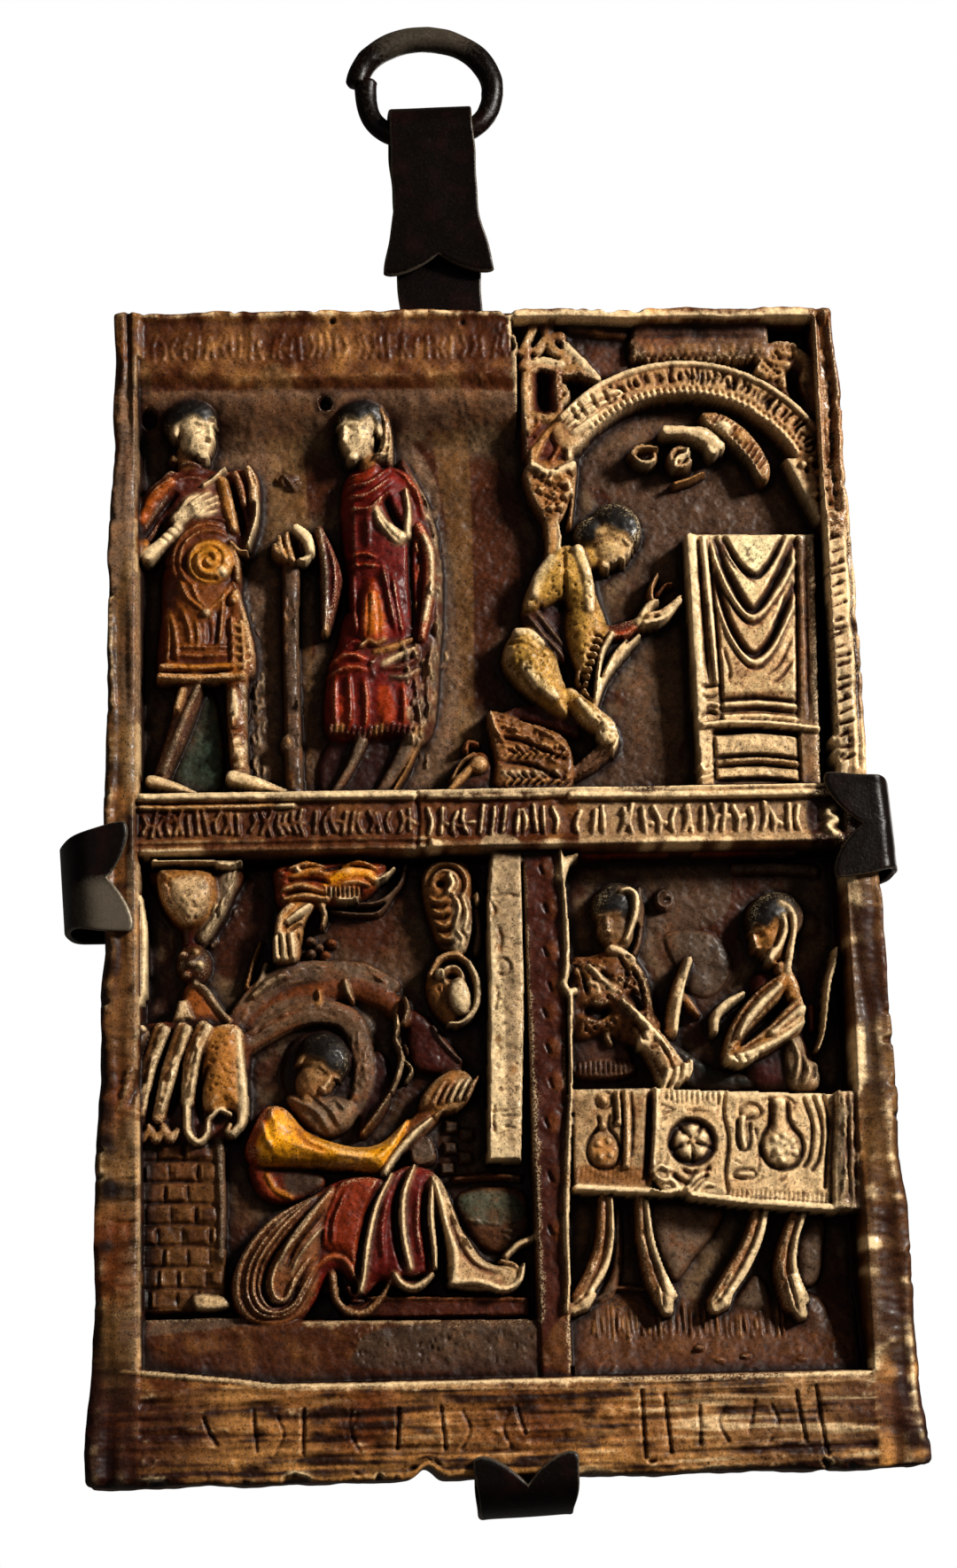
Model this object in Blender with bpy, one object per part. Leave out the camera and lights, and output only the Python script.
"""A hung relief plaque: a cast slab carved with four scenes, an iron cross of bent strap that grips it
from behind, and the forged ring that hangs in the loop at the cross's top.

World frame: metres, +Z up, the face looks along -Y and the wall lies behind at +Y. The origin is the
bearing point inside the top of the ring, where the nail goes. The carving is laid out in millimetres on
the face: x across from the slab's centre line, z up from its bottom edge, h out from its flat back.
"""

import bpy
import numpy as np
from math import cos, radians, sin

MM = 0.001

# The slab.
SLAB_HEIGHT = 270.0
TOP_HALF_WIDTH = 85.0
BOTTOM_HALF_WIDTH = 91.3
FIELD_HALF_WIDTH = 80.6
RIM = 22.0
FLOOR = 10.5
BOTTOM_BAND = 21.0
BAND_LOW, BAND_HIGH = 141.0, 154.3
TOP_BAND_LOW = 251.5
CARVED_STEP = 0.95
CARVED_SHARE = 0.073

# The iron cross.
SHEET = 1.5
STRAP_WIDTH = 20.4
LAP = 0.2
GAP = 0.3
UPRIGHT_LEAN = radians(2.2)
LEVEL_LEAN = radians(3.3)
CROSSING = (-1.8, 139.5)
LOOP_RISE = 184.9
LOOP_INNER = 4.95
LOOP_OUTER = LOOP_INNER + SHEET
FLAP_LENGTH = 36.0
FLARE = 20.0

# The ring.
RING_CENTRE = (-10.1, 336.2)
RING_HALF_WIDTH = 16.7
RING_HALF_HEIGHT = 13.4
BAR_RADIUS = 2.6
BAR_SWELL = 0.55
FLATTER = 2.3
END_OFFSET = 2.3

NAIL = (RING_CENTRE[0], RING_CENTRE[1] + RING_HALF_HEIGHT - BAR_RADIUS - BAR_SWELL)
WALL_Y = LOOP_OUTER
SLAB_BACK_Y = WALL_Y - SHEET - LAP - GAP


def world(x, z, y):
    """Plaque millimetres to world metres: x and z are counted from the nail, y from the ring's plane."""
    return np.stack([x - NAIL[0], y, z - NAIL[1]], axis=-1) * MM


def material(name, colour, roughness, metallic=0.0):
    made = bpy.data.materials.new(name)
    made.use_nodes = True
    shader = made.node_tree.nodes["Principled BSDF"]
    shader.inputs["Base Color"].default_value = (*colour, 1.0)
    shader.inputs["Roughness"].default_value = roughness
    shader.inputs["Metallic"].default_value = metallic
    return made


def add_object(name, points, faces, finish):
    mesh = bpy.data.meshes.new(name)
    mesh.from_pydata([tuple(point) for point in points.reshape(-1, 3)], [], faces)
    mesh.materials.append(finish)
    mesh.validate()
    made = bpy.data.objects.new(name, mesh)
    bpy.context.scene.collection.objects.link(made)
    return made


# ---------------------------------------------------------------- curves on the face


def smooth_curve(points, closed=False, pieces=6):
    """Catmull-Rom curve: each stretch is a cubic through its two points, steered by their neighbours."""
    points = np.array(points, float)
    if closed:
        padded = np.concatenate([points[-1:], points, points[:2]])
    else:
        padded = np.concatenate([2 * points[:1] - points[1:2], points, 2 * points[-1:] - points[-2:-1]])
    t = np.linspace(0, 1, pieces, endpoint=False)[:, None]
    runs = []
    for before, start, end, after in zip(padded, padded[1:], padded[2:], padded[3:]):
        bend = 2 * before - 5 * start + 4 * end - after
        twist = 3 * start - before - 3 * end + after
        runs.append(0.5 * (2 * start + (end - before) * t + bend * t**2 + twist * t**3))
    if not closed:
        runs.append(points[-1:])
    return np.concatenate(runs)


def arc(centre, radius, start, end, count=15):
    """Points on a circle, from one angle to another in degrees counted from +x towards +z."""
    angle = np.radians(np.linspace(start, end, count))
    return np.stack([centre[0] + radius * np.cos(angle), centre[1] + radius * np.sin(angle)], axis=1)


def nearest_on(path, x, z):
    """Distance of each place from a path, and how far along it (0 to 1) the nearest point lies."""
    steps = np.hypot(*np.diff(path, axis=0).T)
    starts = np.concatenate([[0.0], np.cumsum(steps)])
    nearest = np.full(x.shape, 1e9)
    along = np.zeros(x.shape)
    for (ax, az), (bx, bz), start, step in zip(path, path[1:], starts, steps):
        t = np.clip(((x - ax) * (bx - ax) + (z - az) * (bz - az)) / max(step, 1e-6) ** 2, 0, 1)
        distance = np.hypot(x - ax - t * (bx - ax), z - az - t * (bz - az))
        closer = distance < nearest
        nearest = np.where(closer, distance, nearest)
        along = np.where(closer, (start + t * step) / starts[-1], along)
    return nearest, along


def inside(outline, x, z):
    """Even-odd rule: a place is inside where a ray from it crosses the outline an odd number of times."""
    odd = np.zeros(x.shape, bool)
    for (ax, az), (bx, bz) in zip(outline, np.roll(outline, -1, axis=0)):
        if az != bz:
            odd ^= ((az > z) != (bz > z)) & (x < ax + (bx - ax) * (z - az) / (bz - az))
    return odd


def ramp(value, low, high):
    """0 below low, 1 above high, and a smooth S between."""
    t = np.clip((value - low) / (high - low), 0, 1)
    return t * t * (3 - 2 * t)


# ---------------------------------------------------------------- the carver


class Relief:
    """Heights h over a grid of places on the face; each method carves one simple form into them."""

    def __init__(self, step):
        self.columns = np.linspace(-TOP_HALF_WIDTH, TOP_HALF_WIDTH, 2 * round(TOP_HALF_WIDTH / step) + 1)
        self.rows = np.linspace(0, SLAB_HEIGHT, 2 * round(SLAB_HEIGHT / step / 2) + 1)
        self.x, self.z = np.meshgrid(self.columns, self.rows)
        flare = (BOTTOM_HALF_WIDTH - TOP_HALF_WIDTH) * (1 - self.z / SLAB_HEIGHT)
        outward = np.clip((abs(self.x) - FIELD_HALF_WIDTH) / (TOP_HALF_WIDTH - FIELD_HALF_WIDTH), 0, 1)
        self.x = self.x + np.sign(self.x) * outward * flare
        self.h = np.full(self.x.shape, RIM)

    def near(self, points, reach):
        """The part of the grid within reach of some points."""
        low = np.min(points, axis=0) - reach
        high = np.max(points, axis=0) + reach
        left, right = np.searchsorted(self.columns, (low[0], high[0]))
        bottom, top = np.searchsorted(self.rows, (low[1], high[1]))
        return slice(max(bottom - 1, 0), top + 1), slice(max(left - 1, 0), right + 1)

    def recess(self, left, right, bottom, top, floor, splay=1.6):
        """A sunk rectangle whose walls lean back by splay from its mouth to its floor."""
        depth = np.minimum.reduce([self.x - left, right - self.x, self.z - bottom, top - self.z])
        wall = RIM - (RIM - floor) * ramp(depth, 0, splay)
        self.h = np.where(depth > 0, np.minimum(self.h, wall), self.h)

    def raised(self, outline, top, edge=3.0, drop=3.0, tilt=(0, 0), closed_curve=True):
        """A pad: level at top inside, rounded off like a quarter ellipse over its outer edge."""
        outline = smooth_curve(outline, closed=True, pieces=5) if closed_curve else np.array(outline, float)
        area = self.near(outline, 1)
        x, z = self.x[area], self.z[area]
        distance, _ = nearest_on(np.concatenate([outline, outline[:1]]), x, z)
        rounding = 1 - np.sqrt(1 - (1 - np.clip(distance / edge, 0, 1)) ** 2)
        centre = outline.mean(axis=0)
        height = top - drop * rounding + tilt[0] * (x - centre[0]) + tilt[1] * (z - centre[1])
        self.h[area] = np.where(inside(outline, x, z), np.maximum(self.h[area], height), self.h[area])

    def limb(self, points, radii, tops, round_by=0.9):
        """A rounded bar along a curve: across it the height falls like an ellipse of half width radius."""
        path = smooth_curve(points)
        area = self.near(path, max(radii) + 1)
        distance, along = nearest_on(path, self.x[area], self.z[area])
        places = np.linspace(0, 1, len(radii))
        radius = np.interp(along, places, radii)
        crest = np.interp(along, np.linspace(0, 1, len(tops)), tops)
        across = np.clip(distance / radius, 0, 1)
        height = crest - round_by * radius * (1 - np.sqrt(1 - across**2))
        self.h[area] = np.where(across < 1, np.maximum(self.h[area], height), self.h[area])

    def ball(self, centre, radii, top, turn=0.0, round_by=0.9):
        """An ellipsoid: radii across and along an axis turned by some degrees from upright."""
        area = self.near([centre], max(radii) + 1)
        x, z = self.x[area] - centre[0], self.z[area] - centre[1]
        c, s = cos(radians(turn)), sin(radians(turn))
        across = np.clip(np.hypot((c * x + s * z) / radii[0], (c * z - s * x) / radii[1]), 0, 1)
        height = top - round_by * min(radii) * (1 - np.sqrt(1 - across**2))
        self.h[area] = np.where(across < 1, np.maximum(self.h[area], height), self.h[area])

    def fold(self, points, width, height):
        """A soft ridge along a curve, or a groove where height is negative, fading out at both ends."""
        path = smooth_curve(points)
        area = self.near(path, width + 1)
        distance, along = nearest_on(path, self.x[area], self.z[area])
        across = np.clip(distance / width, 0, 1)
        fade = np.clip(4 * np.minimum(along, 1 - along) + 0.35, 0, 1)
        self.h[area] += height * fade * (1 - across**2) ** 2

    def folds(self, curves, width, height):
        for points in curves:
            self.fold(points, width, height)


# ---------------------------------------------------------------- the carving


def carve_frame(relief):
    """Rims, the two sunk fields, the band between them and the board below."""
    relief.recess(-FIELD_HALF_WIDTH, 12, BAND_HIGH, TOP_BAND_LOW, FLOOR)
    relief.recess(8, FIELD_HALF_WIDTH, BAND_HIGH, 268.0, FLOOR)
    relief.recess(-FIELD_HALF_WIDTH, FIELD_HALF_WIDTH, BOTTOM_BAND, BAND_LOW, FLOOR)
    across = ramp(relief.z, BAND_LOW - 0.5, BAND_LOW + 3) * ramp(-relief.z, -BAND_HIGH, -BAND_HIGH + 1.5)
    relief.h -= 1.7 * across * (abs(relief.x) < FIELD_HALF_WIDTH)
    relief.limb([(-81, 153.5), (0, 153.2), (79, 152.6)], [1.3], [22.4])
    top_band = (relief.z > 254) & (relief.z < 268) & (relief.x < 9) & (relief.x > -FIELD_HALF_WIDTH)
    relief.h -= 1.2 * top_band
    relief.raised(
        [(-82, 20), (9, 20), (9.5, 34.5), (-30, 35.5), (-84, 36)], 18.5, 2.0, 2.0, closed_curve=False
    )
    slope = np.clip((42.0 - relief.z) / 21, 0, 1)
    on_floor = (relief.x > 10) & (relief.x < FIELD_HALF_WIDTH - 2) & (relief.z > BOTTOM_BAND)
    relief.h = np.where(on_floor, np.maximum(relief.h, FLOOR + 7 * slope), relief.h)


def carve_head(relief, centre, size, facing, top, lean=0.0):
    """A plain head: skull and cap of hair, jaw, and a nose and brow on the side it faces."""
    x, z = centre
    turned = radians(lean)

    def place(across, up):
        across *= facing
        return (
            x + size * (across * cos(turned) - up * sin(turned)),
            z + size * (across * sin(turned) + up * cos(turned)),
        )

    relief.ball(place(-0.06, 0.16), (0.36 * size, 0.36 * size), top, lean)
    relief.ball(place(0.06, -0.12), (0.24 * size, 0.36 * size), top - 0.04 * size, lean)
    relief.limb([place(0.2, 0.06), place(0.3, -0.14)], [0.05 * size, 0.08 * size], [top - 0.5])
    relief.limb([place(0.06, 0.1), place(0.26, 0.09)], [0.05 * size], [top - 0.2])


def carve_first_man(relief):
    """The standing man at the left: belted tunic, one hand on his chest, the other arm in a loose sleeve."""
    relief.raised([(-66, 183), (-61, 178), (-61, 158), (-72, 158), (-71, 170)], 12.8, 2, 1.5)
    relief.limb([(-68.5, 184), (-71, 172), (-73.5, 161)], [3.6, 3.0, 2.4], [16.5])
    relief.limb([(-57.5, 184), (-56.8, 173), (-56.3, 161)], [3.4, 2.9, 2.5], [16.8])
    relief.limb([(-76.5, 158.3), (-71, 157.4), (-66.8, 156.3)], [2.0, 1.8, 1.3], [18, 16.5])
    relief.limb([(-57.8, 158.7), (-52.5, 157.4), (-47.5, 156)], [2.3, 2.1, 1.3], [18.5, 17])
    skirt = [
        (-73, 215), (-57.5, 215), (-55.5, 200), (-54.5, 186), (-57, 182), (-74, 182), (-76, 186), (-74, 200)
    ]
    relief.raised(skirt, 17.0, 5, 4)
    chest = [(-75, 230), (-67, 234.5), (-58, 233), (-56, 222), (-58, 211), (-72, 211), (-75, 221)]
    relief.raised(chest, 17.6, 5, 4)
    relief.folds(
        [[(-75.5, 183.4), (-66, 182.8), (-56, 183.6)], [(-74, 187.4), (-65, 187), (-56.5, 187.6)]], 1.5, 1.0
    )
    relief.folds(
        [[(-70.5, 206), (-67, 201.5), (-64.6, 199)], [(-58.5, 206), (-62, 202), (-64.2, 199)]], 1.3, 0.8
    )
    relief.folds([[(-73, 199), (-72, 186)], [(-69.5, 203), (-67, 188)], [(-61, 199), (-60, 188)]], 1.3, 0.8)
    relief.ball((-63.2, 211), (5.4, 5.4), 19.4, round_by=0.4)
    side_strip = [(-58.5, 205), (-56, 205), (-53.3, 196), (-52.4, 190), (-53, 184), (-58, 184), (-58.6, 195)]
    relief.raised(side_strip, 17.8, 1.5, 1.5)
    relief.limb([(-71.5, 229.5), (-76, 225), (-79.3, 214)], [4.2, 4.3, 3.8], [18.2])
    relief.limb([(-79, 212.6), (-74.5, 216), (-69.5, 220)], [3.2, 2.5, 2.3], [19.2])
    relief.ball((-66, 222.8), (5.0, 3.2), 20.0, turn=-75, round_by=0.7)
    relief.limb([(-60.5, 231.5), (-58.8, 224), (-57, 215.5)], [2.6, 2.3, 2.0], [18])
    relief.limb([(-60.5, 231.5), (-57, 233.5), (-53, 231.5)], [2.2], [18])
    relief.limb([(-53, 231.5), (-52.8, 222), (-55, 214)], [2.2, 2.0, 1.6], [18])
    relief.limb([(-67.5, 237), (-66.5, 231)], [3.4], [17])
    carve_head(relief, (-67.2, 243), 17.0, 1, 19.8, 8)


def carve_staff_and_hand(relief):
    relief.limb([(-44.2, 212), (-44.4, 190), (-44, 156)], [1.9], [15.5])
    relief.ball((-45.6, 168.4), (2.4, 2.6), 16.8)
    relief.ball((-44, 214.8), (5.2, 4.6), 19.5, turn=30)
    relief.ball((-43.6, 231.8), (2.2, 2.4), 12.5)


def carve_second_man(relief):
    """The robed man facing left: raised hand at his breast, a long hanging sleeve, a cloak down his back."""
    relief.limb([(-28.5, 169), (-32, 161.5), (-36, 155.8)], [2.2, 1.9, 1.6], [15.5])
    relief.limb([(-17.5, 169), (-21, 162), (-25, 155.8)], [2.8, 2.4, 2.0], [15.5])
    skirt = [(-31, 200), (-18, 200), (-14, 190), (-14, 170), (-22, 167.5), (-37, 168), (-37, 186)]
    relief.raised(skirt, 16.8, 5, 4)
    robe = [(-30, 232), (-22, 236), (-14, 230), (-11, 218), (-14, 196), (-20, 190), (-31, 190), (-31, 212)]
    relief.raised(robe, 17.8, 6, 5)
    relief.limb([(-37.5, 218), (-33.5, 207), (-36.5, 194)], [2.0, 2.6, 1.4], [17])
    relief.limb([(-12, 222), (-9.8, 210), (-11.5, 190), (-14, 168)], [1.8, 1.6, 1.5], [15.5])
    relief.limb([(-13, 215), (-13.2, 204), (-15.6, 191)], [1.7, 1.5, 1.1], [18.4])
    relief.limb([(-17.8, 230), (-17.2, 221), (-18.5, 214)], [1.3], [19])
    relief.limb([(-25.4, 224), (-22.8, 218.5), (-18.8, 214.5)], [1.7, 2.2, 2.4], [19.8])
    relief.folds(
        [[(-30, 231), (-25, 232.5), (-21, 236)], [(-30.5, 227.5), (-24, 229.5), (-19, 234)]], 1.5, 1.0
    )
    relief.folds(
        [[(-27, 203), (-28.4, 193)], [(-23.5, 206), (-20.5, 193)], [(-25.4, 201), (-25, 192)]], 1.3, 0.9
    )
    relief.folds(
        [[(-18, 190), (-21, 184), (-24.5, 181)], [(-15, 188), (-18, 181)], [(-36, 187), (-29, 185)]],
        1.4,
        0.9,
    )
    relief.folds([[(-33, 184), (-33, 170)], [(-28, 182), (-28, 170)], [(-21, 181), (-22, 171)]], 1.5, 0.9)
    relief.folds([[(-37, 170), (-27, 169), (-16, 169.5)]], 1.3, 0.9)
    relief.limb([(-27, 236), (-25.5, 231)], [3.2], [17])
    carve_head(relief, (-27.2, 243), 17.0, -1, 19.8, 0)


def carve_canopy(relief):
    """The arched canopy at the upper right, with its roofs, turrets, capitals and column."""
    relief.raised([(38, 262), (70, 262), (70, 269), (38, 269)], 19.5, 1.5, 1.5, closed_curve=False)
    for column in range(11):
        relief.ball((39.5 + 3 * column, 262.2), (1.6, 2.4), 19.0)
    tower = [(10.8, 236), (20.5, 236), (20.5, 258), (18, 262), (13, 262), (10.8, 258)]
    relief.raised(tower, 18.5, 1.5, 1.5, closed_curve=False)
    relief.fold([(15.6, 256), (15.6, 247)], 3.2, -4.5)
    relief.raised([(20.5, 255), (28.5, 255), (24, 264), (20.5, 264)], 17.5, 1.2, 1.2, closed_curve=False)
    relief.limb([(12, 266), (17, 269), (22, 267.5), (35, 267.3)], [1.6], [19])
    relief.limb([(72.8, 248), (72.6, 257)], [1.6], [18])
    relief.limb([(68, 257), (71, 262), (77, 262), (80, 256)], [1.8], [18.5])
    relief.limb([(79.5, 262), (80, 246)], [1.2], [18])
    centre, outer, inner = (48.5, 221), 38.0, 30.0
    middle = (outer + inner) / 2
    relief.limb(arc(centre, middle, 28, 141), [(outer - inner) / 2], [19.4], round_by=0.35)
    relief.fold(arc(centre, outer - 0.9, 28, 141), 1.0, 1.0)
    relief.fold(arc(centre, inner + 0.8, 28, 141), 0.9, 0.8)
    for angle in np.arange(30, 141, 5.5):
        ends = [arc(centre, radius, angle, angle, 1)[0] for radius in (inner + 1.5, outer - 2.5)]
        relief.fold(ends, 1.2, -0.7)
    relief.raised([(11.5, 233), (22.5, 234.5), (20, 221), (14, 221)], 18.8, 2, 2)
    relief.limb([(13, 236), (16, 242), (21, 246)], [2.4], [18.5])
    relief.limb([(16.8, 221), (16.8, 205)], [1.9], [16.5])
    relief.raised([(72.8, 234.8), (84, 235), (84.5, 220), (79, 219)], 19.5, 1.5, 1.5, closed_curve=False)
    relief.limb([(82.4, 220), (82.4, 156)], [2.6], [20.5])
    for height in np.arange(160, 219, 5.2):
        relief.fold([(80, height - 1), (85, height + 1.5)], 1.0, -0.8)
    relief.limb([(52, 245.3), (61, 242.2), (68, 231)], [1.6, 2.6, 1.4], [17.5])
    relief.limb([(44.5, 242), (51, 241.3), (57, 238.5)], [1.9, 2.0, 1.6], [19])
    relief.limb([(50, 239), (47, 235)], [2.2, 2.6], [18])
    relief.limb([(50, 240), (42, 238.4), (37, 237)], [1.4, 1.2, 1.2], [18])
    relief.fold([(46, 229.5), (50, 231), (54, 233)], 0.9, 1.2)


def carve_kneeling_figure(relief):
    """The figure kneeling before the altar, its head bowed and its hands held out."""
    relief.raised([(18, 166), (31, 164), (34, 155), (18, 155)], 14.5, 3, 3)
    relief.limb([(-9, 155.5), (-5, 160), (-2, 162.5)], [1.8, 1.9, 2.8], [16, 17.5])
    relief.raised(
        [(1, 174.5), (10, 172), (18, 167.5), (17.8, 155.5), (3, 155.5), (1.5, 163)], 17.0, 2.5, 2.5
    )
    back = [
        (20, 214.5),
        (13.5, 210),
        (9.5, 201),
        (13, 193),
        (18, 186),
        (24, 184),
        (26.5, 190),
        (26, 204),
        (24, 213),
    ]
    relief.raised(back, 17.8, 5, 5)
    relief.limb([(9.5, 191), (12.5, 184), (16.5, 177.5)], [5.0, 5.6, 3.6], [18.5])
    relief.limb([(20, 178), (24, 173), (28, 167.5)], [2.8, 3.4, 3.0], [18])
    relief.limb([(22, 209), (23.5, 198), (24.2, 187)], [3.2, 3.0, 2.4], [19])
    relief.limb([(25.5, 193), (31, 194), (36, 195.5)], [3.2, 2.6, 2.0], [17.5])
    relief.limb([(35.5, 192.5), (29, 186), (25.4, 176)], [0.9, 0.9, 0.7], [18])
    relief.limb([(29.4, 192), (26.4, 187), (25.4, 177)], [0.8], [18.3])
    relief.limb([(23, 188.5), (21.6, 181)], [0.8], [17.5])
    relief.limb([(37, 195), (41, 198), (46, 200.5)], [1.9, 1.4, 1.0], [18.5])
    relief.limb([(38.5, 196), (40, 201), (41.2, 207)], [1.6, 1.2, 0.9], [16.5])
    relief.folds([[(18, 213), (18, 200), (17.4, 188)]], 0.9, -1.0)
    relief.folds([[(6, 189.5), (10.5, 188), (15, 184)]], 0.8, -0.7)
    relief.limb([(25, 214), (29, 211)], [3.6], [17])
    carve_head(relief, (31.8, 216), 15.0, 1, 19.5, -28)


def carve_altar(relief):
    """The draped altar: a slab whose front cloth hangs in nested pointed folds over banded panels."""
    relief.raised([(47.6, 216), (78.4, 216), (76.6, 155), (49.4, 155)], 18.6, 0.8, 0.8, closed_curve=False)
    relief.fold([(53.6, 215), (53.8, 190), (54.6, 172)], 0.8, -1.0)
    relief.fold([(74, 215), (72.8, 190), (72.2, 172)], 0.8, -1.0)
    for width, start, tip in ((6.5, 213.5, 205.5), (9, 214, 195), (10, 208, 184.5)):
        relief.fold([(63.4 - width, start), (63.4 - 0.55 * width, tip + 6), (63.4, tip)], 1.4, 1.0)
        relief.fold([(63.4 + width, start), (63.4 + 0.55 * width, tip + 6), (63.4, tip)], 1.4, 1.0)
    for height, depth in ((176, -0.7), (173.8, -0.7), (168, -2.0), (161.5, -1.0), (157, -1.0)):
        relief.fold([(50, height), (63, height), (75, height - 0.6)], 0.9, depth)
    relief.fold([(50, 170.2), (63, 170), (76, 168.8)], 0.9, 0.9)


def carve_left_scene(relief):
    """The lower left: cup, draped cloth and brick pier, a vault over the sleeper's head, and the sleeper."""
    cup = [(-77, 139), (-57, 139), (-59, 131), (-63.5, 123), (-70.5, 123), (-75, 131)]
    relief.raised(cup, 17.5, 5, 4.5)
    relief.fold([(-77, 139), (-57.5, 138.8)], 1.0, 1.0)
    relief.limb([(-67, 124), (-67.3, 112), (-67, 108)], [3.2, 2.6, 3.4], [16])
    relief.raised([(-69, 112), (-64, 112), (-57, 102), (-76, 102)], 15.5, 3, 3)
    relief.limb([(-61, 102), (-53, 109.5), (-42, 115), (-30, 115.5)], [3, 3.2, 2.8, 2.2], [15])
    relief.limb([(-30, 114), (-20, 108), (-11, 98), (-6, 90)], [2.4, 2.6, 2.6, 2.2], [14.5])
    relief.limb([(-56, 96), (-49, 104), (-38, 107.5), (-28, 103)], [2.6], [14])
    relief.raised([(-82, 101), (-58, 101), (-56.5, 88), (-58, 76), (-66, 74), (-84, 77)], 17.5, 3, 3)
    for top, bottom in ((-76, -81), (-71, -77), (-65, -70), (-60, -62)):
        relief.limb([(top, 100), ((top + bottom) / 2 - 1, 90), (bottom, 78)], [1.4, 1.6, 1.6], [19])
    relief.limb([(-57.6, 96), (-57.2, 84), (-59.5, 77)], [1.8, 1.8, 2.0], [19])
    relief.raised([(-85, 76), (-62, 76), (-61.5, 38), (-85, 38)], 15.5, 1, 1, closed_curve=False)
    for course in range(8):
        relief.fold([(-83, 72 - 4.4 * course), (-64, 72 - 4.4 * course)], 0.8, -0.8)
    relief.ball((-38.5, 91.5), (10.5, 12.0), 14.5, round_by=0.2)
    carve_head(relief, (-38, 91), 15.0, 1, 17.5, -18)
    sleeve = [
        (-56, 76),
        (-52, 83.5),
        (-46, 80.5),
        (-36, 75),
        (-26, 75.5),
        (-20, 79),
        (-25, 67.5),
        (-40, 69),
        (-52, 70),
    ]
    relief.raised(sleeve, 18.0, 4, 4)
    relief.limb([(-25.5, 68), (-20, 73), (-15, 79.5)], [1.2], [19])
    relief.limb([(-20, 72), (-14, 80), (-7, 88)], [3.2, 3.0, 2.8], [16.5])
    relief.ball((-9, 87), (5.5, 3.2), 18, turn=-45)
    robe = [
        (-35, 66), (-48, 58), (-58, 49), (-60, 41), (-53, 34.5), (-44, 37), (-38, 47), (-24, 44), (-14, 45)
    ]
    relief.raised([*robe, (-14, 66)], 17.5, 4, 3)
    relief.folds([[(-42, 63), (-52, 54), (-57, 44), (-52, 37)], [(-36, 64), (-46, 53), (-50, 42)]], 2.0, 1.5)
    relief.folds([[(-24.5, 66), (-28, 56), (-31, 43)], [(-19, 67), (-22, 58), (-20.5, 46)]], 1.2, 1.4)
    relief.folds([[(-15, 65), (-16, 55), (-15, 46)], [(-31, 64), (-37, 53), (-38, 49)]], 1.2, 1.4)
    relief.folds([[(-42, 47), (-36, 48.5), (-32, 43), (-34, 38)]], 1.2, 1.2)
    relief.limb([(-13, 64), (-8, 53), (-1, 47)], [1.6, 2.6, 2.6], [17])
    relief.limb([(-11, 43), (-4, 41.5), (2, 42.5)], [2.2, 2.2, 1.8], [17.5])
    relief.limb([(1, 49), (6, 52), (11.5, 57)], [1.8, 1.5, 1.0], [17])
    relief.limb([(-8, 62), (2, 58), (8, 56)], [4.0, 3.5, 2.0], [14])
    relief.raised([(0, 140.5), (7, 140.5), (4.5, 69.5), (-3, 69.5)], 18.5, 0.8, 0.8, closed_curve=False)
    for height in (134, 126, 119):
        relief.ball((-9.5, height), (5.0, 4.5), 16.5)
    relief.ball((-9, 108.5), (6.8, 8.2), 17, turn=20, round_by=0.5)
    relief.limb([(-46, 136), (-36, 137), (-26, 135.5)], [3.2, 3.4, 2.6], [17])
    relief.limb([(-46, 131), (-47.5, 126), (-47, 117.5)], [3.0, 2.8, 2.4], [18])
    relief.limb([(-38, 130), (-31, 130.5)], [1.8], [16.5])
    relief.limb([(-54, 121), (-56.5, 111)], [1.2], [14])


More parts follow.
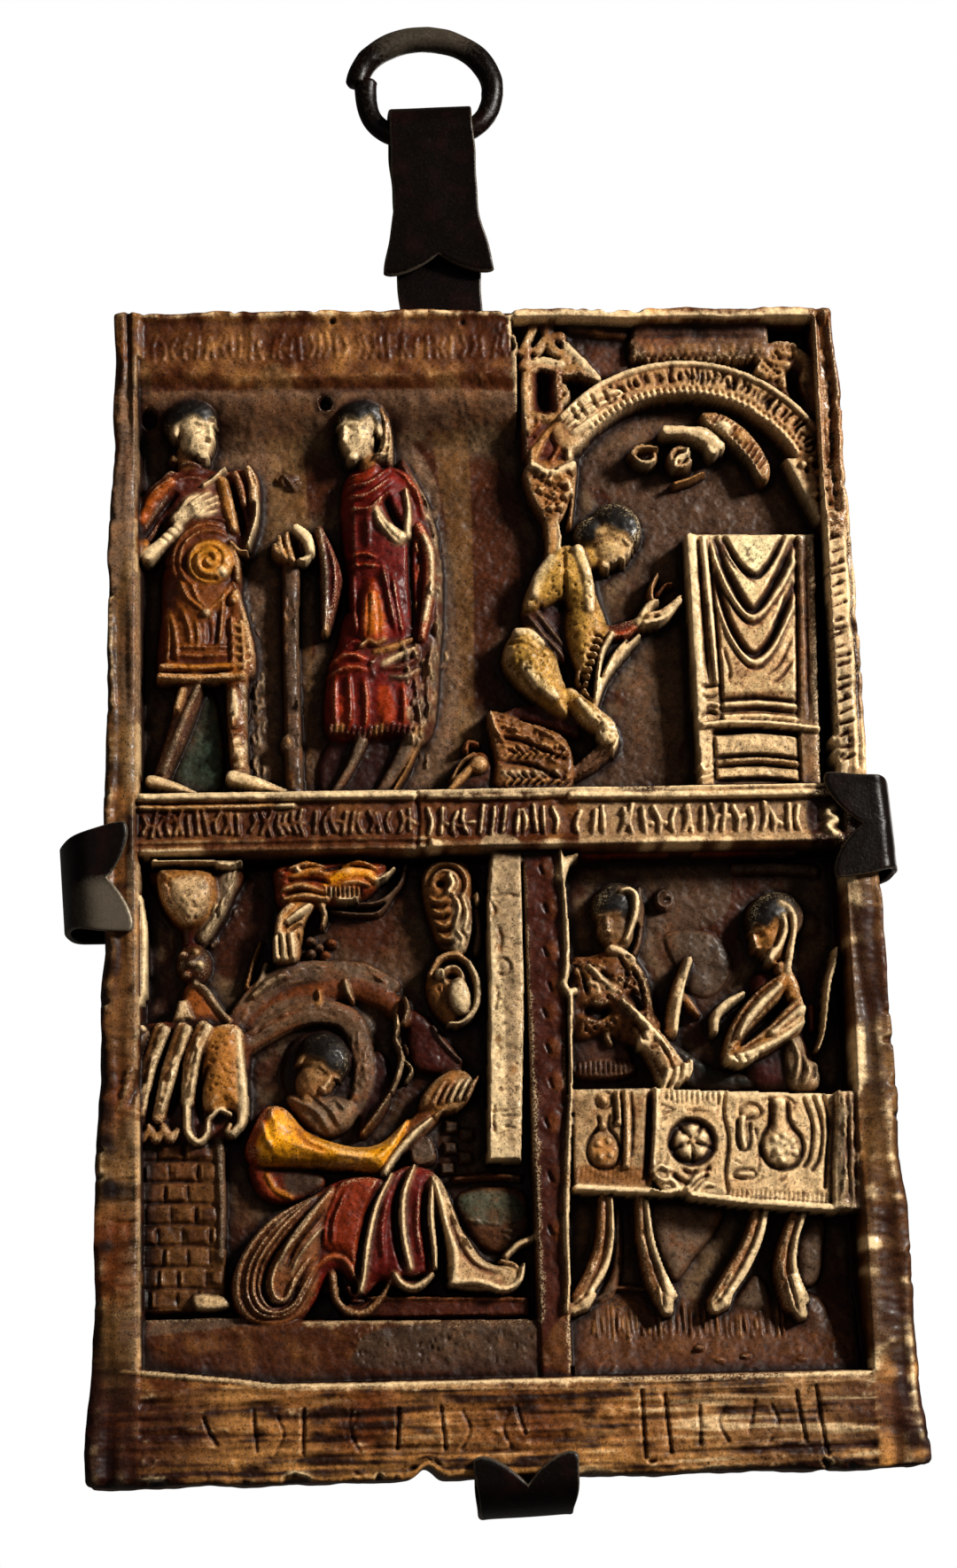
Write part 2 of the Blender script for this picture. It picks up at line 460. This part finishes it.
def carve_right_scene(relief):
    """The lower right: two diners behind a clothed table on four bowed legs."""
    relief.raised([(7, 141), (16.8, 141), (14.8, 21), (7.5, 21)], 18.5, 1, 1, closed_curve=False)
    relief.limb([(16.4, 139), (16.8, 108), (14.8, 62), (14, 36)], [0.9], [20])
    relief.raised([(18, 116), (32, 117), (36, 104), (36, 86), (17.5, 86)], 15.5, 4, 4)
    relief.limb([(31, 113), (34.5, 106), (36, 99)], [2.6, 2.4, 2.2], [17])
    relief.limb([(18.5, 112), (25, 107), (30, 103)], [2.6, 2.4, 2.0], [17])
    relief.limb([(29, 104), (36, 97), (42, 87.5)], [2.0, 2.4, 2.8], [18.5])
    relief.limb([(39, 98), (41.5, 107), (44.5, 115.5)], [1.7, 1.6, 1.3], [17.5])
    relief.ball((24, 91.6), (7, 2.2), 15.5)
    carve_head(relief, (29, 125), 15.0, 1, 18.5, 0)
    relief.raised([(61, 111), (69, 110), (72, 98), (71, 86), (60, 86), (58, 98)], 15.5, 4, 4)
    relief.limb([(66, 110), (57.5, 102), (52.8, 92.5)], [2.2, 2.4, 1.8], [18.5])
    relief.limb([(53.5, 92.2), (61, 96), (69.5, 102)], [2.2, 2.4, 2.8], [18.5])
    relief.limb([(49, 98), (51.5, 103.5), (56.5, 107)], [1.2], [17.5])
    relief.limb([(78, 116.5), (75.2, 107), (73.5, 94)], [1.0], [15.5])
    carve_head(relief, (65, 122), 15.0, -1, 18.5, 0)
    hem = [(81, 58), (74, 56.5), (55, 58), (42, 60.5), (34, 62), (16.5, 62.5)]
    cloth = [(16.5, 85.5), (35, 85.3), (60, 84.2), (80, 83.2), *hem]
    relief.raised(cloth, 18.4, 1.0, 1.0, tilt=(0.01, 0), closed_curve=False)
    relief.fold([(35.4, 85), (33.8, 63)], 1.0, -1.2)
    relief.folds(
        [[(71, 83), (72, 74), (70, 66)], [(76.5, 83), (75, 57.5)], [(50.6, 82), (50.6, 62)]], 1.0, -0.9
    )
    relief.fold([(37, 61.8), (55, 59), (74, 57.5)], 1.0, 0.8)
    relief.ball((63.5, 71.4), (4.8, 4.6), 19.2, round_by=0.3)
    relief.ball((43, 73), (4.8, 4.8), 19.2, round_by=0.3)
    relief.limb([(24.4, 61), (24.2, 50), (20, 41), (16, 37)], [1.3, 1.6, 2.2, 2.0], [17.5])
    relief.limb([(32.6, 61), (33.4, 50), (35.5, 41), (36.6, 36.5)], [1.4, 1.8, 2.4, 2.2], [17.8])
    relief.limb([(59, 58), (56, 50), (51.5, 42), (47, 36)], [1.7, 1.9, 2.1, 1.8], [17.8])
    relief.limb([(67.5, 56.5), (64.6, 49), (63.8, 42), (65.8, 34)], [1.6, 2.0, 2.9, 2.2], [17.8])


def block(front, back_y, name, finish):
    """A closed slab: the carved front grid, a wall round its border, and one flat back."""
    rows, columns = front.shape[:2]
    index = np.arange(rows * columns).reshape(rows, columns)
    quads = np.stack(
        [index[:-1, :-1], index[:-1, 1:], index[1:, 1:], index[1:, :-1]], axis=-1).reshape(-1, 4
    )
    border = np.concatenate([index[0, :-1], index[:-1, -1], index[-1, :0:-1], index[:0:-1, 0]])
    back = front.reshape(-1, 3)[border].copy()
    back[:, 1] = back_y
    lower = rows * columns + np.arange(len(border))
    walls = np.stack([np.roll(border, -1), border, lower, np.roll(lower, -1)], axis=-1)
    faces = quads.tolist() + walls.tolist() + [lower[::-1].tolist()]
    return add_object(name, np.concatenate([front.reshape(-1, 3), back]), faces, finish)


def thinned_pairs(values):
    """Every second row and column, each averaged with its neighbours by weights 1, 2, 1."""
    for _ in range(2):
        padded = np.concatenate([values[:1], values, values[-1:]])
        values = ((padded[:-2] + 2 * padded[1:-1] + padded[2:]) / 4)[::2].T
    return values


def make_plaque(finish):
    relief = Relief(CARVED_STEP / 2)
    for carve in (
        carve_frame,
        carve_first_man,
        carve_staff_and_hand,
        carve_second_man,
        carve_canopy,
        carve_kneeling_figure,
        carve_altar,
        carve_left_scene,
        carve_right_scene,
    ):
        carve(relief)
    height = thinned_pairs(relief.h)
    x, z = relief.x[::2, ::2], relief.z[::2, ::2]
    front = world(x, z, SLAB_BACK_Y - height)
    plaque = block(front, SLAB_BACK_Y * MM, "plaque", finish)
    thinner = plaque.modifiers.new("thinner", "DECIMATE")
    thinner.ratio = CARVED_SHARE
    return plaque


# ---------------------------------------------------------------- the iron


def half_circle(centre, radii, start, end, count=11):
    """Points on an upright ellipse of the side view, from one angle to another in degrees."""
    angle = np.radians(np.linspace(start, end, count))
    return np.stack([centre[0] + radii[0] * np.cos(angle), centre[1] + radii[1] * np.sin(angle)], axis=1)


def claw_path(stand_off, edge, overlap):
    """From the crossing out behind the slab, past its edge, round in a bow and back over its face.

    Points are (run, out): run from the crossing, out forward from the strap's back. The bow is half an
    ellipse that stands off from the slab's edge.
    """
    back = SHEET / 2
    front = SHEET + LAP + GAP + RIM + GAP + SHEET / 2
    reach = stand_off - SHEET / 2 - 1.0
    bow = half_circle((edge + 1.0, (back + front) / 2), (reach, (front - back) / 2), -90, 90)
    flat = np.linspace((edge + 1.0, front), (edge - overlap, front), 5)[1:]
    return np.concatenate([bow, flat])


def hanger_path():
    """Up from the crossing, over in the loop, and down in front as a flap that closes on the strap."""
    radius = LOOP_INNER + SHEET / 2
    loop = half_circle((LOOP_RISE, LOOP_OUTER), (radius, radius), -90, 118, 17)
    flap = np.linspace(loop[-1], (LOOP_RISE - FLAP_LENGTH, 2 * SHEET + 0.6), 7)[1:]
    return np.concatenate([loop, flap])


def even_steps(path, count):
    """The same path with its points spaced evenly along it."""
    lengths = np.concatenate([[0.0], np.cumsum(np.hypot(*np.diff(path, axis=0).T))])
    wanted = np.linspace(0, lengths[-1], count)
    return np.stack([np.interp(wanted, lengths, path[:, axis]) for axis in (0, 1)], axis=1)


def both_ways(first, second):
    """One strap's whole side view: the first arm runs to the negative side, the second to the positive."""
    return np.concatenate([first[::-1] * (-1, 1), second])


def bent_strap(path, halves, notches, columns=7):
    """Sheet swept along its side view: grids of (run, out) for both faces, and of the place across.

    Both ends are cut to a swallowtail: a column at share c of the half width stops short by the notch
    times (1 - |c|). The strap flares from its middle half width to the half widths of its two ends.
    """
    lengths = np.concatenate([[0.0], np.cumsum(np.hypot(*np.diff(path, axis=0).T))])
    total = lengths[-1]
    share = np.linspace(-1, 1, columns)[None, :]
    near_start = np.clip(1 - lengths / (notches[0] + 2.5), 0, 1)[:, None]
    near_end = np.clip(1 - (total - lengths) / (notches[1] + 2.5), 0, 1)[:, None]
    cut = 1 - abs(share)
    along = lengths[:, None] + near_start * notches[0] * cut - near_end * notches[1] * cut

    def on_path(distance):
        return np.stack([np.interp(distance, lengths, path[:, axis]) for axis in (0, 1)], axis=-1)

    centre = on_path(along)
    direction = on_path(along + 0.4) - on_path(along - 0.4)
    direction /= np.linalg.norm(direction, axis=-1, keepdims=True)
    normal = np.stack([-direction[..., 1], direction[..., 0]], axis=-1)
    half = halves[1] + (halves[0] - halves[1]) * ramp(-along, -FLARE, 0)
    half += (halves[2] - halves[1]) * ramp(along, total - FLARE, total)
    return centre + normal * SHEET / 2, centre - normal * SHEET / 2, share * half


def shell_faces(rows, columns):
    """Faces of a closed sheet whose upper grid comes first and lower grid second."""
    upper = np.arange(rows * columns).reshape(rows, columns)
    lower = upper + rows * columns
    top = np.stack([upper[:-1, :-1], upper[1:, :-1], upper[1:, 1:], upper[:-1, 1:]], axis=-1).reshape(-1, 4)
    bottom = np.stack(
        [lower[:-1, :-1], lower[:-1, 1:], lower[1:, 1:], lower[1:, :-1]], axis=-1).reshape(-1, 4
    )
    border = np.concatenate([upper[0, :-1], upper[:-1, -1], upper[-1, :0:-1], upper[:0:-1, 0]])
    following = np.roll(border, -1)
    wall = np.stack([border, following, following + rows * columns, border + rows * columns], axis=-1)
    return np.concatenate([top, bottom, wall]).tolist()


def strap_object(name, path, angle, halves, notches, lap, finish):
    """One strap of the cross, its run laid along a direction in the wall's plane."""
    upper, lower, across = bent_strap(path, halves, notches)
    points = []
    for face in (upper, lower):
        x = CROSSING[0] + face[..., 0] * cos(angle) - across * sin(angle)
        z = CROSSING[1] + face[..., 0] * sin(angle) + across * cos(angle)
        points.append(world(x, z, WALL_Y - lap - face[..., 1]).reshape(-1, 3))
    return add_object(name, np.concatenate(points), shell_faces(*across.shape), finish)


def make_iron_cross(finish):
    """Two straps joined where they cross; the level one lies a little forward of the upright one."""
    half = STRAP_WIDTH / 2
    flare = BOTTOM_HALF_WIDTH - TOP_HALF_WIDTH
    left_edge = TOP_HALF_WIDTH + flare * (1 - (CROSSING[1] - 6) / SLAB_HEIGHT) + CROSSING[0]
    right_edge = TOP_HALF_WIDTH + flare * (1 - (CROSSING[1] + 6) / SLAB_HEIGHT) - CROSSING[0]
    upright = both_ways(claw_path(8.2, CROSSING[1], 5.4), hanger_path())
    level = both_ways(claw_path(9.9, left_edge, 6.6), claw_path(5.6, right_edge, 11.0))
    cross = strap_object(
        "iron_cross", upright, UPRIGHT_LEAN + radians(90), (11.4, half, 13.4), (7.0, 5.2), 0.0, finish
    )
    level_strap = strap_object("level_strap", level, LEVEL_LEAN, (12.6, half, 12.6), (5.5, 8.2), LAP, finish)
    level_strap.hide_render = True
    level_strap.display_type = "WIRE"
    join = cross.modifiers.new("join level strap", "BOOLEAN")
    join.operation = "UNION"
    join.object = level_strap
    return cross


def make_ring(finish):
    """A forged bar bent round an oval; its two ends pass each other at the left, one outside the other.

    The lower half is a superellipse, flatter than the upper, so that it lies along the loop; the bar
    swells towards the top.
    """
    count, sides = 48, 10
    turn = np.radians(np.linspace(176, -190, count))
    inward = END_OFFSET * ramp(-np.degrees(turn), 80, 190)
    power = np.where(np.sin(turn) < 0, FLATTER, 2.0)
    across = np.sign(np.cos(turn)) * abs(np.cos(turn)) ** (2 / power)
    up = np.sign(np.sin(turn)) * abs(np.sin(turn)) ** (2 / power)
    x = RING_CENTRE[0] + (RING_HALF_WIDTH - inward) * across
    z = RING_CENTRE[1] + RING_HALF_HEIGHT * up
    path = even_steps(np.stack([x, z], axis=1), count)
    direction = np.gradient(path, axis=0)
    direction /= np.linalg.norm(direction, axis=1, keepdims=True)
    normal = np.stack([-direction[:, 1], direction[:, 0]], axis=1)
    angle = np.linspace(0, 2 * np.pi, sides, endpoint=False)
    radius = BAR_RADIUS + BAR_SWELL * ramp((path[:, 1] - RING_CENTRE[1]) / RING_HALF_HEIGHT, -0.6, 1.0)
    around = path[:, None, :] + radius[:, None, None] * np.cos(angle)[None, :, None] * normal[:, None, :]
    points = world(around[..., 0], around[..., 1], -radius[:, None] * np.sin(angle))
    index = np.arange(count * sides).reshape(count, sides)
    after = np.roll(index, -1, axis=1)
    quads = np.stack([index[:-1], after[:-1], after[1:], index[1:]], axis=-1).reshape(-1, 4).tolist()
    caps = [index[0, ::-1].tolist(), index[-1].tolist()]
    return add_object("hanging_ring", points, quads + caps, finish)


for old in list(bpy.data.objects):
    bpy.data.objects.remove(old, do_unlink=True)

CAST = material("cast", (0.42, 0.30, 0.17), 0.45)
IRON = material("iron", (0.05, 0.045, 0.04), 0.5, 0.8)
make_plaque(CAST)
make_iron_cross(IRON)
make_ring(IRON)
